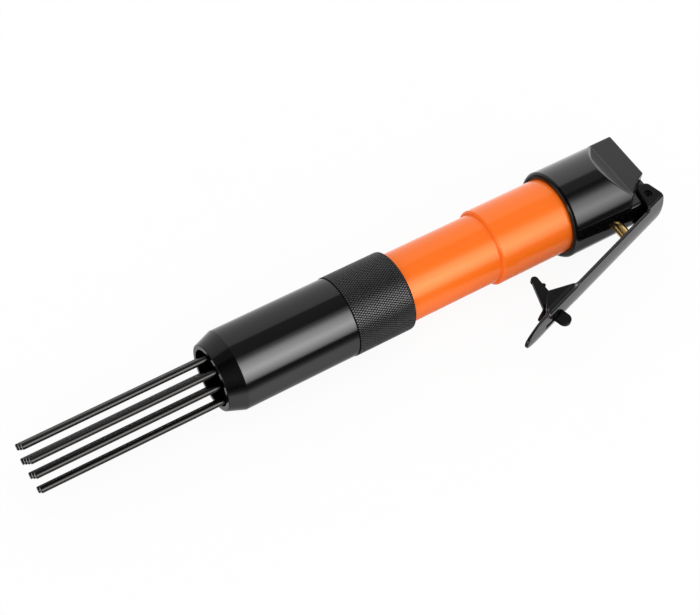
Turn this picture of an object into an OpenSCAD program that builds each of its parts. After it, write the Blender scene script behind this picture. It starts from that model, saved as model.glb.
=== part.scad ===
// Needle scaler: an in-line air tool that drives a bundle of loose needles.
// Origin: centre of the air inlet's mouth, on the rear face of the head.
// +X points out of the inlet, the needles point to -X, the lever is on -Y and +Z is up.
// All sizes are in millimetres and degrees.

/* [Needles] */
// Diameter of one needle
needle_d = 3; // [2:0.1:3.5]
// Length of one needle with its head
needle_length = 180; // [150:1:200]
// Distance between neighbouring needles
needle_pitch = 7.6; // [6:0.1:9]
// Diameter of the upset head of a needle
needle_head_d = 4.6; // [4:0.1:5.5]
// Thickness of the upset head of a needle
needle_head_t = 2.5; // [1.5:0.1:4]
// Chamfer on the tip of a needle
needle_tip_chamfer = 0.3; // [0.1:0.05:0.6]
// Turn of the bundle about the tool's axis
bundle_turn = 302; // [0:1:360]
// Free play of a needle in the holder
needle_play = 2; // [1:0.1:4]
// Gap round a needle in its hole
needle_gap = 0.1; // [0.05:0.01:0.3]
// Thickness of the needle holder
holder_t = 8; // [5:0.5:12]
// Travel of the needle holder
holder_travel = 5; // [2:0.5:8]

/* [Sleeve] */
// Length of the sleeve
sleeve_length = 95; // [80:1:110]
// Wall of the sleeve
sleeve_wall = 2; // [1.5:0.1:4]
// Length of the coned nose
nose_length = 8.3; // [5:0.1:15]
// Width of the rim at the mouth
nose_rim = 2.4; // [1.5:0.1:4]
// Gap between the bundle and the mouth
mouth_gap = 0.4; // [0.3:0.1:2]
// Length of the knurled band
knurl_length = 30.3; // [15:0.1:45]
// Height of the knurled band above the sleeve
knurl_rise = 0.3; // [0.1:0.05:0.6]
// Chamfer at the ends of the knurled band
knurl_chamfer = 0.8; // [0.4:0.1:1.5]

/* [Return spring] */
// Wire of the return spring
return_wire_d = 1.5; // [1:0.1:2]
// Turns of the return spring
return_turns = 9; // [6:1:14]
// Gap on each side of the return spring's wire
return_gap = 0.32; // [0.25:0.01:1]

/* [Barrel] */
// Wall of the barrel round the needle holder
barrel_wall = 1.7; // [1.2:0.1:3]
// Length of the thin front part that shows behind the sleeve
barrel_front_length = 48.3; // [40:0.1:60]
// Length of the thick rear part that shows in front of the head
barrel_rear_length = 39.2; // [30:0.1:55]
// Step from the thin part to the thick part
barrel_step = 1.7; // [0.8:0.1:3]
// Chamfer on that step
step_chamfer = 0.8; // [0.3:0.1:1.5]
// Length of the holder's guide in front of its travel
guide_length = 10.5; // [5:0.5:20]
// Step down to the spigot inside the head
spigot_step = 1.65; // [1:0.05:3]

/* [Hammer] */
// Bore of the hammer cylinder
bore_d = 18; // [14:0.5:20]
// Length of the piston
piston_length = 36; // [25:1:45]
// Stroke of the piston
piston_stroke = 18; // [12:0.5:25]
// Gap behind the piston at rest
piston_rest_gap = 2; // [1:0.5:5]
// Chamfer on the piston and on the anvil's stem
hammer_chamfer = 1; // [0.5:0.1:2]
// Thickness of the anvil's flange
anvil_flange_t = 11; // [6:0.5:16]
// Length of the anvil's stem
anvil_stem_length = 19.2; // [12:0.1:30]
// Travel of the anvil
anvil_travel = 2; // [1:0.1:4]
// Thickness of the buffer ring
buffer_t = 4; // [2:0.5:8]
// Diameter of an air passage in the barrel
passage_d = 3; // [2:0.1:4]

/* [Plate valve] */
// Thickness of the valve cap
valve_cap_t = 4; // [3:0.5:8]
// Thickness of the valve body
valve_body_t = 12; // [9:0.5:16]
// Diameter of the valve body
valve_d = 26; // [22:0.5:28]
// Diameter of the valve disc
disc_d = 14; // [10:0.5:17]
// Thickness of the valve disc
disc_t = 1.2; // [0.8:0.1:2]
// Travel of the valve disc
disc_travel = 0.6; // [0.3:0.1:1.2]
// Diameter of the port in the valve cap
cap_port_d = 7; // [4:0.5:9]
// Diameter of the port in the valve body
body_port_d = 6; // [4:0.5:9]
// Depth of the plenum behind the valve body
plenum_depth = 2.5; // [1:0.5:4]

/* [Head] */
// Length of the head
head_length = 47.7; // [44:0.1:60]
// Wall of the head outside the barrel
head_wall = 3.15; // [1.5:0.05:5]
// Radius of the rounded front rim
rim_r = 1.5; // [0.5:0.1:3]
// Depth of the seat for the thick part of the barrel
seat_depth = 2; // [1:0.5:5]
// Depth of the socket for the spigot
socket_depth = 17.7; // [14:0.1:20]
// Size across the spanner flats
flats_af = 26; // [20:0.5:34]
// Length of the spanner flats
flats_length = 12.3; // [8:0.1:18]
// Length of the slope in front of the flats
slope_length = 11.2; // [5:0.1:16]
// Radius of the pockets for the ears
pocket_r = 40; // [30:1:60]
// Distance of the pockets' wall from the lever pivot
pocket_clear = 6.6; // [6.2:0.1:8]
// Lean of the pockets' wall
pocket_lean = 36.5; // [30:0.5:45]
// Thread core diameter of the air inlet
inlet_d = 11.44; // [8:0.01:15]
// Depth of the inlet thread
inlet_depth = 13; // [10:0.1:14]
// Diameter of the passage behind the inlet
inlet_passage_d = 7; // [4:0.5:9]
// Depth of the recess for the screen
screen_recess = 1.5; // [1:0.1:3]
// Thickness of the screen
screen_t = 1.2; // [0.5:0.1:1.5]
// Diameter of a hole in the screen
screen_hole_d = 1.8; // [1:0.1:2]
// Distance between the holes in the screen
screen_pitch = 2.4; // [2.2:0.1:3]
// Width of the screen's ledge
screen_ledge = 1; // [0.5:0.1:2]

/* [Throttle] */
// Distance of the plunger from the rear face
plunger_back = 21.8; // [20:0.1:24]
// Diameter of the plunger
plunger_d = 5.5; // [3:0.1:6]
// Length of the plunger without its stem
plunger_length = 14.4; // [12:0.1:18]
// Diameter of the plunger's stem
plunger_stem_d = 2.4; // [1.5:0.1:3]
// Radius of the plunger's domed end
plunger_dome_r = 5; // [4:0.1:10]
// Distance of the valve seat from the tool's axis
seat_offset = 4; // [2:0.5:7]
// Width of the ball's land on its seat
seat_land = 0.7; // [0.4:0.1:1.5]
// Gap round the ball in its chamber
chamber_gap = 1.85; // [1:0.05:3]
// Length of the valve plug
plug_length = 8.5; // [5:0.5:10]
// Depth of the plug's head below the head's surface
plug_sink = 0.8; // [0.3:0.1:2]
// Size across flats of the plug's hexagon socket
plug_socket_af = 5; // [3:0.5:7]
// Depth of the plug's hexagon socket
plug_socket_depth = 4; // [2:0.5:5]
// Wire of the valve spring
valve_wire_d = 0.7; // [0.4:0.05:1]
// Turns of the valve spring
valve_turns = 5; // [3:1:7]
// Diameter of the outlet port
outlet_d = 3; // [2:0.1:4]
// Distance of the outlet port from the valve seat
outlet_offset = 4; // [3:0.1:6]

/* [Lever] */
// Angle of the released lever to the tool's axis
lever_open = 17.3; // [15:0.1:22]
// Travel of the lever
lever_travel = 11; // [5:0.5:12]
// Distance of the pivot from the rear face
pivot_back = 3.7; // [3.5:0.1:6]
// Depth of the pivot below the head's surface
pivot_depth = 3.8; // [3:0.05:6]
// Sheet thickness of the lever
lever_t = 1.8; // [1.2:0.1:2]
// Outer radius of the lever's bends
bend_r = 2.6; // [2.1:0.1:3]
// Distance of the pivot from the inside of the web
web_offset = 5.5; // [5:0.1:8]
// Crown radius of the web across the lever
crown_r = 30; // [25:1:60]
// Width of the lever over its ears
ear_width = 20.4; // [17:0.1:24]
// Distance of the ears' rear edge from the pivot
ear_back = 5.3; // [4:0.1:8]
// Distance of the ears' top from the pivot
ear_top = 6.3; // [5:0.1:7]
// Distance of the ears' front edge from the pivot
ear_front = 3.8; // [3.2:0.1:5]
// Lean of the ears' front edge
ear_lean = 26; // [10:1:40]
// Corner radius of the ears
ear_corner_r = 3; // [1:0.1:3.5]
// Width of the lever over its wings
wing_width = 14.8; // [12:0.1:18]
// Height of the wings above the web
wing_height = 7.9; // [6.5:0.1:9]
// Length of the wings behind the latch pivot
wing_back = 12.7; // [9:0.1:16]
// Length of the wings in front of the latch pivot
wing_front = 10.3; // [8:0.1:14]
// Radius of the tongue's rounded sides
tongue_side_r = 27; // [20:1:40]
// Radius of the tongue's tip
tongue_tip_r = 4; // [2:0.1:6]
// Diameter of the lever's roll pin
lever_pin_d = 4; // [3:0.1:4.5]
// Bore of the lever's roll pin
lever_pin_bore = 2; // [1:0.1:2.5]
// Depth of the roll pin's ends below the ears
lever_pin_sink = 1; // [0.1:0.1:1.5]

/* [Latch] */
// Distance of the latch pivot from the lever pivot
latch_reach = 76.5; // [70:0.5:85]
// Height of the latch pivot above the web
latch_rise = 3.7; // [3.4:0.1:4.5]
// Turn of the latch for each degree of the lever
latch_ratio = 4.5; // [4.2:0.1:4.8]
// Thickness of the latch plate
latch_t = 2.2; // [1.5:0.1:3]
// Radius of the latch hub
hub_r = 3; // [2.4:0.1:3.2]
// Reach of the lock arm above the pivot
arm_reach = 15.9; // [12:0.1:16.2]
// Rearward offset of the lock arm's tip
arm_offset = 5.1; // [3:0.1:7]
// Distance of the lock arm's foot in front of the pivot
arm_foot = 5; // [3:0.1:6]
// Radius of the lock arm's tip
arm_tip_r = 1.9; // [1.2:0.1:2.4]
// Radius of the nub on the lock arm
nub_r = 1; // [0.6:0.1:1.4]
// Place of the nub along the lock arm, as a share of its length
nub_place = 0.66; // [0.4:0.02:0.8]
// Length of the heel in front of the pivot
heel_length = 11; // [7:0.1:11.5]
// Thickness of the heel at its end
heel_t = 3.5; // [1.5:0.1:4]
// Width of the thumb tab
tab_width = 6.3; // [4:0.1:8]
// Forward offset of the thumb tab
tab_offset = 2.8; // [1:0.1:4]
// Reach of the thumb tab below the pivot
tab_reach = 12.1; // [9:0.1:14]
// Gap round the latch in the slot of the web
slot_gap = 0.4; // [0.3:0.05:1]
// Diameter of the latch pin
latch_pin_d = 2.4; // [1.5:0.1:2.6]
// Depth of the latch pin's ends below the wings
latch_pin_sink = 0.1; // [0.1:0.1:0.5]
// Wire of the latch spring
latch_wire_d = 0.6; // [0.4:0.05:0.8]
// Turns of the latch spring
latch_turns = 3.25; // [2.25:1:4.25]
// Gap between the latch spring's turns
coil_gap = 0.45; // [0.4:0.05:0.6]
// Length of the latch spring's legs
latch_leg = 6; // [4:0.5:8]

/* [Fits] */
// Gap of a running fit, on each side
run_gap = 0.05; // [0.03:0.01:0.1]
// Gap of the pivots, on each side
pivot_gap = 0.08; // [0.03:0.01:0.1]
// Gap between pieces that meet at the end of a travel
touch_gap = 0.3; // [0.2:0.05:0.5]
// Gap of the O-ring in its groove
seal_gap = 0.03; // [0.01:0.01:0.1]
// Section diameter of the O-ring
seal_d = 1.6; // [1:0.1:2.2]

/* [Hidden] */
$fn = 72;
// Overlap of cuts and joins
over = 1;
// Size beyond any part
far = 200;

// Radii from the needle bundle outwards
needle_r = needle_d / 2;
bundle_rows = [[2, 5 / 3], [3, 2 / 3], [4, -1 / 3], [3, -4 / 3]];
row_rise = needle_pitch * sqrt(3) / 2;
bundle_r = needle_pitch * sqrt(7 / 3) + needle_r;
mouth_r = bundle_r + mouth_gap;
nose_r = mouth_r + nose_rim;
cavity_r = bundle_r + return_wire_d + 2 * return_gap;
barrel_front_r = cavity_r + barrel_wall;
barrel_rear_r = barrel_front_r + barrel_step;
spigot_r = barrel_rear_r - spigot_step;
sleeve_bore_r = barrel_front_r + run_gap;
sleeve_r = sleeve_bore_r + sleeve_wall;
knurl_r = sleeve_r + knurl_rise;
head_r = barrel_rear_r + head_wall;
bore_r = bore_d / 2;
piston_r = bore_r - run_gap;
valve_r = valve_d / 2;

// Stations along the axis, from the rear face forwards
head_front_x = -head_length;
socket_x = head_front_x + socket_depth;
barrel_end_x = socket_x - touch_gap;
step_x = head_front_x - barrel_rear_length;
sleeve_rear_x = step_x - barrel_front_length;
mouth_x = sleeve_rear_x - sleeve_length;
nose_x = mouth_x + nose_length;
valve_body_x = barrel_end_x - valve_body_t;
bore_back_x = valve_body_x - valve_cap_t;
piston_back_x = bore_back_x - piston_rest_gap;
piston_front_x = piston_back_x - piston_length;
anvil_back_x = piston_front_x - piston_stroke - touch_gap;
flange_back_x = anvil_back_x - anvil_stem_length;
cavity_back_x = flange_back_x + touch_gap + buffer_t;
anvil_front_x = flange_back_x - anvil_flange_t;
needle_back_x = anvil_front_x - anvil_travel - needle_play - touch_gap;
holder_back_x = needle_back_x - needle_head_t;
holder_front_x = holder_back_x - holder_t;
barrel_front_x = holder_front_x - holder_travel - guide_length;
needle_tip_x = needle_back_x - needle_length;

// Plate valve
disc_pocket_depth = disc_t + disc_travel + 2 * touch_gap;
disc_pocket_r = disc_d / 2 + touch_gap;
disc_x = valve_body_x + touch_gap;

// Throttle valve
plunger_x = -plunger_back;
plunger_r = plunger_d / 2;
guide_r = plunger_r + run_gap;
ball_r = guide_r + seat_land;
chamber_r = ball_r + chamber_gap;
seat_y = -seat_offset;
ball_y = seat_y + sqrt(ball_r * ball_r - guide_r * guide_r) + run_gap;
plug_out_y = head_r - plug_sink;
plug_in_y = plug_out_y - plug_length;
valve_spring_r = ball_r - valve_wire_d;

// Lever, in its own frame: u runs forward along the web and v outward
pivot_x = -pivot_back;
pivot_y = -(head_r - pivot_depth);
web_in = web_offset;
web_out = web_offset + lever_t;
ear_half = ear_width / 2;
wing_half = wing_width / 2;
lug_half = ear_half - lever_t - touch_gap;
lever_pin_half = ear_half - lever_pin_sink;
lever_hole_r = lever_pin_d / 2 + pivot_gap;
hub_v = web_in - latch_rise;
wing_end_u = latch_reach + wing_front;
wing_start_u = latch_reach - wing_back;
crown_v = web_out - crown_r;
wing_foot_v = crown_v + sqrt(pow(crown_r - bend_r, 2) - pow(wing_half - bend_r, 2));
wing_edge = bend_start(wing_half);
ear_edge = bend_start(ear_half);
crown_angles = [0, wing_edge / 3, wing_edge * 2 / 3, wing_edge, (wing_edge + ear_edge) / 2, ear_edge];
arc_steps = 6;
ear_foot_u = (ear_front + web_out * sin(ear_lean)) / cos(ear_lean);
corner_u = (ear_front - ear_corner_r + (ear_corner_r - ear_top) * sin(ear_lean)) / cos(ear_lean);
corner_v = ear_corner_r - ear_top;
ear_round_r = norm([corner_u, ear_top]);

// Height of the web's inner face above a station, for a lever at the given angle
function web_y(x, angle) = pivot_y - (web_in + (pivot_x - x) * sin(angle)) / cos(angle);
dome_y = web_y(plunger_x, lever_open) + (plunger_dome_r + touch_gap) / cos(lever_open);
plunger_tip_y = dome_y - plunger_dome_r;
plunger_in_y = plunger_tip_y + plunger_length;

// Latch, in the lever's frame and about its own pivot
latch_travel = lever_travel * latch_ratio;
wing_in_half = wing_half - lever_t;
tab_back = tab_offset - tab_width / 2;
slot_half = latch_t / 2 + slot_gap;
slot_start_u = latch_reach + tab_back - slot_gap;
tab_tip_u = tab_offset * cos(latch_travel) + (tab_reach - tab_width / 2) * sin(latch_travel);
slot_end_u = latch_reach + tab_tip_u + tab_width / 2 + slot_gap;
latch_hole_r = latch_pin_d / 2 + pivot_gap;
latch_coil_r = latch_pin_d / 2 + touch_gap + latch_wire_d;
latch_coil_length = latch_turns * (latch_wire_d + coil_gap);

// Places of the needles across the tool's axis, as pairs of Y and Z
function row_places(row) = [
    for (i = [0 : row[0] - 1])
    [(i - (row[0] - 1) / 2) * needle_pitch, row[1] * row_rise]
];
needle_places = [
    for (row = bundle_rows)
    for (p = row_places(row))
    [p[0] * cos(bundle_turn) + p[1] * sin(bundle_turn), p[0] * sin(bundle_turn) - p[1] * cos(bundle_turn)]
];

// A profile of radius and station, turned about the tool's axis
module turned(points) {
    rotate([0, 90, 0])
        rotate_extrude()
            polygon(points);
}

// A rod along X from one station to another
module rod_x(r, from_x, to_x) {
    translate([from_x, 0, 0])
        rotate([0, 90, 0])
            cylinder(r = r, h = to_x - from_x);
}

// A rod along Y from one place to another
module rod_y(r, from_y, to_y) {
    translate([0, from_y, 0])
        rotate([-90, 0, 0])
            cylinder(r = r, h = to_y - from_y);
}

// A coil about Z with two straight legs, as one unbroken tube with so many rings a turn
module coil(r, wire_d, length, turns, leg, rings) {
    sides = 6;
    count = rings * turns;
    path = concat(
        leg > 0 ? [[0, -leg]] : [],
        [for (i = [0 : count]) [i, 0]],
        leg > 0 ? [[count, leg]] : []
    );
    points = [
        for (p = path)
        let (a = p[0] * 360 / rings, z = p[0] / count * length)
        for (s = [0 : sides - 1])
        let (b = s * 360 / sides, q = r + wire_d / 2 * cos(b))
        [q * cos(a) - p[1] * sin(a), q * sin(a) + p[1] * cos(a), z + wire_d / 2 * sin(b)]
    ];
    last = len(path) - 1;
    turn_gaps = [
        for (i = [0 : len(points) - rings * sides - 1])
        norm(points[i + rings * sides] - points[i]) - wire_d
    ];
    echo(least_gap_between_turns = min([for (g = turn_gaps) if (g > 0) g]));
    sides_faces = [
        for (i = [0 : last - 1])
        for (s = [0 : sides - 1])
        let (a = i * sides + s, b = i * sides + (s + 1) % sides)
        for (f = [[a, a + sides, b], [b, a + sides, b + sides]])
        f
    ];
    end_faces = [
        for (s = [1 : sides - 2])
        for (f = [[0, s, s + 1], [last * sides, last * sides + s + 1, last * sides + s]])
        f
    ];
    polyhedron(points, concat(sides_faces, end_faces), convexity = 10);
}

module sleeve() {
    knurl_x = sleeve_rear_x - knurl_length;
    color([0.06, 0.06, 0.065])
        turned([
            [mouth_r, mouth_x], [nose_r, mouth_x], [sleeve_r, nose_x], [sleeve_r, knurl_x],
            [knurl_r, knurl_x], [knurl_r, sleeve_rear_x - knurl_chamfer],
            [knurl_r - knurl_chamfer, sleeve_rear_x], [sleeve_bore_r, sleeve_rear_x],
            [sleeve_bore_r, nose_x], [mouth_r, nose_x]
        ]);
}

module barrel() {
    groove_x = (head_front_x + seat_depth + valve_body_x) / 2;
    groove_r = spigot_r - seal_d - seal_gap;
    groove_half = seal_d / 2 + touch_gap;
    seat_x = head_front_x + seat_depth - touch_gap;
    passage_r = (valve_r + cavity_r) / 2 - passage_d / 2;
    port_x = piston_front_x - piston_stroke / 2;
    color([0.95, 0.40, 0.10])
        difference() {
            turned([
                [cavity_r, barrel_front_x], [barrel_front_r, barrel_front_x], [barrel_front_r, step_x],
                [barrel_rear_r - step_chamfer, step_x], [barrel_rear_r, step_x + step_chamfer],
                [barrel_rear_r, seat_x], [spigot_r, seat_x], [spigot_r, groove_x - groove_half],
                [groove_r, groove_x - groove_half], [groove_r, groove_x + groove_half],
                [spigot_r, groove_x + groove_half], [spigot_r, barrel_end_x], [valve_r, barrel_end_x],
                [valve_r, bore_back_x], [bore_r, bore_back_x], [bore_r, cavity_back_x],
                [cavity_r, cavity_back_x]
            ]);
            for (side = [-1, 1])
                translate([0, side * passage_r, 0])
                    rod_x(passage_d / 2, cavity_back_x - over, port_x);
            translate([port_x, 0, 0])
                rod_y(passage_d / 2, -passage_r, passage_r);
        }
}

module head() {
    slope_x = -flats_length - slope_length;
    flat_z = flats_af / 2;
    pocket_x = pivot_x + (pocket_r - pocket_clear) * sin(pocket_lean);
    pocket_y = pivot_y - (pocket_r - pocket_clear) * cos(pocket_lean);
    color([0.07, 0.07, 0.075])
        difference() {
            rotate([0, 90, 0])
                rotate_extrude() {
                    polygon([
                        [0, socket_x], [spigot_r + run_gap, socket_x],
                        [spigot_r + run_gap, head_front_x + seat_depth],
                        [barrel_rear_r + run_gap, head_front_x + seat_depth],
                        [barrel_rear_r + run_gap, head_front_x], [head_r - rim_r, head_front_x],
                        [head_r - rim_r, head_front_x + rim_r], [head_r, head_front_x + rim_r],
                        [head_r, 0], [0, 0]
                    ]);
                    translate([head_r - rim_r, head_front_x + rim_r])
                        intersection() {
                            circle(r = rim_r);
                            translate([0, -rim_r])
                                square(rim_r);
                        }
                }
            for (side = [0, 1])
                mirror([0, 0, side]) {
                    rotate([90, 0, 0])
                        linear_extrude(far, center = true)
                            polygon([
                                [slope_x, head_r], [-flats_length, flat_z], [over, flat_z],
                                [over, head_r + over], [slope_x, head_r + over]
                            ]);
                    translate([pocket_x, pocket_y, lug_half])
                        cylinder(r = pocket_r, h = far, $fn = 120);
                }
            rod_x(inlet_d / 2, -inlet_depth, over);
            rod_x(inlet_d / 2 - screen_ledge, -inlet_depth - screen_recess, over);
            rod_x(inlet_passage_d / 2, plunger_x, over);
            translate([plunger_x, 0, 0]) {
                rod_y(guide_r, -far, 0);
                rod_y(chamber_r, seat_y, far);
            }
            translate([0, seat_y - outlet_offset, 0])
                rod_x(outlet_d / 2, socket_x - over, plunger_x);
            translate([pivot_x, pivot_y, 0])
                cylinder(r = lever_pin_d / 2 + seal_gap, h = far, center = true);
        }
}

module needle(index) {
    place = needle_places[index];
    color([0.45, 0.45, 0.46])
        translate([0, place[0], place[1]])
            turned([
                [0, needle_tip_x], [needle_r - needle_tip_chamfer, needle_tip_x],
                [needle_r, needle_tip_x + needle_tip_chamfer], [needle_r, holder_back_x],
                [needle_head_d / 2, holder_back_x], [needle_head_d / 2, needle_back_x], [0, needle_back_x]
            ]);
}

module needle_01() { needle(0); }
module needle_02() { needle(1); }
module needle_03() { needle(2); }
module needle_04() { needle(3); }
module needle_05() { needle(4); }
module needle_06() { needle(5); }
module needle_07() { needle(6); }
module needle_08() { needle(7); }
module needle_09() { needle(8); }
module needle_10() { needle(9); }
module needle_11() { needle(10); }
module needle_12() { needle(11); }

module needle_holder() {
    color([0.55, 0.55, 0.56])
        difference() {
            rod_x(cavity_r - run_gap, holder_front_x, holder_back_x);
            for (place = needle_places)
                translate([0, place[0], place[1]])
                    rod_x(needle_r + needle_gap, holder_front_x - over, holder_back_x + over);
        }
}

module return_spring() {
    length = holder_front_x - nose_x - return_wire_d - 2 * touch_gap;
    color([0.5, 0.5, 0.5])
        translate([nose_x + touch_gap + return_wire_d / 2, 0, 0])
            rotate([0, 90, 0])
                coil(cavity_r - return_gap - return_wire_d / 2, return_wire_d, length, return_turns, 0, 24);
}

module anvil() {
    stem_r = bore_r - run_gap;
    flange_r = cavity_r - run_gap;
    color([0.6, 0.6, 0.61])
        turned([
            [0, anvil_front_x], [flange_r, anvil_front_x], [flange_r, flange_back_x],
            [stem_r, flange_back_x], [stem_r, anvil_back_x - hammer_chamfer],
            [stem_r - hammer_chamfer, anvil_back_x], [0, anvil_back_x]
        ]);
}

module buffer_ring() {
    color([0.75, 0.65, 0.3])
        difference() {
            rod_x(cavity_r - run_gap, cavity_back_x - buffer_t, cavity_back_x);
            rod_x(bore_r + touch_gap, flange_back_x, cavity_back_x + over);
        }
}

module piston() {
    color([0.62, 0.62, 0.63])
        turned([
            [0, piston_front_x], [piston_r - hammer_chamfer, piston_front_x],
            [piston_r, piston_front_x + hammer_chamfer], [piston_r, piston_back_x - hammer_chamfer],
            [piston_r - hammer_chamfer, piston_back_x], [0, piston_back_x]
        ]);
}

module valve_cap() {
    color([0.55, 0.55, 0.57])
        difference() {
            rod_x(valve_r - run_gap, bore_back_x, valve_body_x);
            rod_x(cap_port_d / 2, bore_back_x - over, valve_body_x + over);
        }
}

module valve_disc() {
    color([0.65, 0.65, 0.67])
        rod_x(disc_d / 2, disc_x, disc_x + disc_t);
}

module valve_body() {
    plenum_r = seat_offset + outlet_offset + outlet_d / 2;
    color([0.5, 0.5, 0.52])
        difference() {
            rod_x(valve_r - run_gap, valve_body_x, barrel_end_x);
            rod_x(disc_pocket_r, valve_body_x - over, valve_body_x + disc_pocket_depth);
            rod_x(body_port_d / 2, valve_body_x - over, barrel_end_x + over);
            rod_x(plenum_r, barrel_end_x - plenum_depth, barrel_end_x + over);
        }
}

module head_seal() {
    groove_x = (head_front_x + seat_depth + valve_body_x) / 2;
    color([0.03, 0.03, 0.03])
        translate([groove_x, 0, 0])
            rotate([0, 90, 0])
                rotate_extrude()
                    translate([spigot_r - seal_d / 2 - seal_gap / 2, 0])
                        circle(d = seal_d);
}

module inlet_screen() {
    screen_x = -inlet_depth - screen_recess;
    color([0.6, 0.6, 0.58])
        difference() {
            rod_x(inlet_d / 2 - screen_ledge - run_gap, screen_x, screen_x + screen_t);
            rod_x(screen_hole_d / 2, screen_x - over, 0);
            for (i = [0 : 5])
                rotate([i * 60, 0, 0])
                    translate([0, screen_pitch, 0])
                        rod_x(screen_hole_d / 2, screen_x - over, 0);
        }
}

module throttle_plunger() {
    stem_y = ball_y - ball_r - run_gap;
    color([0.80, 0.62, 0.28])
        translate([plunger_x, 0, 0]) {
            intersection() {
                rod_y(plunger_r, plunger_tip_y, plunger_in_y);
                translate([0, dome_y, 0])
                    union() {
                        sphere(r = plunger_dome_r);
                        rod_y(plunger_r, 0, plunger_length);
                    }
            }
            rod_y(plunger_stem_d / 2, plunger_in_y - over, stem_y);
        }
}

module valve_ball() {
    color([0.7, 0.7, 0.72])
        translate([plunger_x, ball_y, 0])
            sphere(r = ball_r);
}

module valve_spring() {
    from_y = ball_y + sqrt(ball_r * ball_r - valve_spring_r * valve_spring_r) + valve_wire_d + touch_gap;
    length = plug_in_y - from_y - valve_wire_d / 2 - touch_gap;
    color([0.6, 0.6, 0.6])
        translate([plunger_x, from_y, 0])
            rotate([-90, 0, 0])
                coil(valve_spring_r, valve_wire_d, length, valve_turns, 0, 12);
}

module valve_plug() {
    color([0.4, 0.4, 0.41])
        translate([plunger_x, 0, 0])
            difference() {
                rod_y(chamber_r - run_gap, plug_in_y, plug_out_y);
                translate([0, plug_out_y + over, 0])
                    rotate([90, 0, 0])
                        linear_extrude(plug_socket_depth + over)
                            circle(d = plug_socket_af / cos(30), $fn = 6);
            }
}

// Places the lever's own frame on the tool
module on_lever() {
    translate([pivot_x, pivot_y, 0])
        rotate([0, 0, 180 + lever_open])
            children();
}

// Angle on the crown at which the bend of a channel starts
function bend_start(half) = asin((half - bend_r) / (crown_r - bend_r));

// Points of an arc after its start
function arc_points(centre, r, from_a, to_a) = [
    for (i = [1 : arc_steps])
    let (a = from_a + (to_a - from_a) * i / arc_steps)
    [centre[0] + r * cos(a), centre[1] + r * sin(a)]
];

// Points of the crown from the middle outwards, at a depth in the sheet
function crown_points(depth, last) = [
    for (a = crown_angles)
    if (a <= last)
    [crown_v + (crown_r - depth) * cos(a), (crown_r - depth) * sin(a)]
];

// Points of a channel from the middle outwards: crown, bend and flange
function channel_points(depth, half) =
    let (last = bend_start(half), turn = crown_r - bend_r)
    concat(
        crown_points(depth, last),
        arc_points([crown_v + turn * cos(last), turn * sin(last)], bend_r - depth, last, 90),
        [[-far, half - depth]]
    );

// Section of a sheet between the points of its two faces, on both sides of the middle
module sheet_section(outer, inner) {
    count = len(outer) - 1;
    polygon(concat(
        [for (i = [count : -1 : 1]) [outer[i][0], -outer[i][1]]], outer,
        [for (i = [count : -1 : 1]) inner[i]], [for (p = inner) [p[0], -p[1]]]
    ));
}

// Draws a section out along the lever, from one place to another
module along_lever(from_u, to_u) {
    translate([from_u, 0, 0])
        rotate([90, 0, 90])
            linear_extrude(to_u - from_u)
                children();
}

// Bent channel along the lever, from one place to another
module channel(half, from_u, to_u) {
    along_lever(from_u, to_u)
        sheet_section(channel_points(0, half), channel_points(lever_t, half));
}

// Crowned sheet of the web over a plan in u and z
module web_sheet() {
    intersection() {
        rotate([-90, 0, 0])
            linear_extrude(far, center = true)
                children();
        along_lever(0, far)
            sheet_section(crown_points(0, ear_edge), crown_points(lever_t, ear_edge));
    }
}

// Side of an ear: its top is round about the pivot, and its front edge leans
module ear_side() {
    rear_a = 180 + acos(ear_back / ear_round_r);
    corner_a = 270 + atan(corner_u / ear_top);
    polygon(concat(
        [[-ear_back, web_out], [-ear_back, ear_round_r * sin(rear_a)]],
        arc_points([0, 0], ear_round_r, rear_a, corner_a),
        arc_points([corner_u, corner_v], ear_corner_r, 270, 360 - ear_lean),
        [[ear_foot_u, web_out]]
    ));
}

module wing_side() {
    polygon([
        [wing_start_u, web_out], [wing_start_u, wing_foot_v], [latch_reach, web_in - wing_height],
        [wing_end_u, wing_foot_v], [wing_end_u, web_out]
    ]);
}

// Plan of the web between the ears and the wings
module web_plan() {
    polygon([
        [0, bend_r - ear_half], [ear_foot_u, bend_r - ear_half], [wing_start_u, -wing_half],
        [wing_start_u, wing_half], [ear_foot_u, ear_half - bend_r], [0, ear_half - bend_r]
    ]);
}

// Plan of the tongue in front of the wings
module tongue_plan() {
    side_z = wing_half - tongue_side_r;
    join_a = acos(side_z / (tongue_tip_r - tongue_side_r));
    tip_u = (tongue_side_r - tongue_tip_r) * sin(join_a);
    side = [[0, wing_half], for (p = arc_points([0, side_z], tongue_side_r, 90, 90 - join_a)) p];
    tip = arc_points([tip_u, 0], tongue_tip_r, 90 - join_a, 0);
    edge = concat(side, tip);
    translate([wing_end_u, 0])
        polygon(concat(edge, [for (i = [len(edge) - 2 : -1 : 0]) [edge[i][0], -edge[i][1]]]));
}

module lever() {
    color([0.08, 0.08, 0.085])
        on_lever()
            difference() {
                union() {
                    intersection() {
                        channel(ear_half, -ear_back, ear_foot_u);
                        linear_extrude(far, center = true)
                            ear_side();
                    }
                    intersection() {
                        channel(wing_half, wing_start_u, wing_end_u);
                        linear_extrude(far, center = true)
                            wing_side();
                    }
                    web_sheet()
                        web_plan();
                    web_sheet()
                        tongue_plan();
                }
                cylinder(r = lever_hole_r, h = far, center = true);
                translate([latch_reach, hub_v, 0])
                    cylinder(d = latch_pin_d + 2 * seal_gap, h = far, center = true);
                translate([slot_start_u, web_in - over, -slot_half])
                    cube([slot_end_u - slot_start_u, lever_t + 2 * over, 2 * slot_half]);
            }
}

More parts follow.
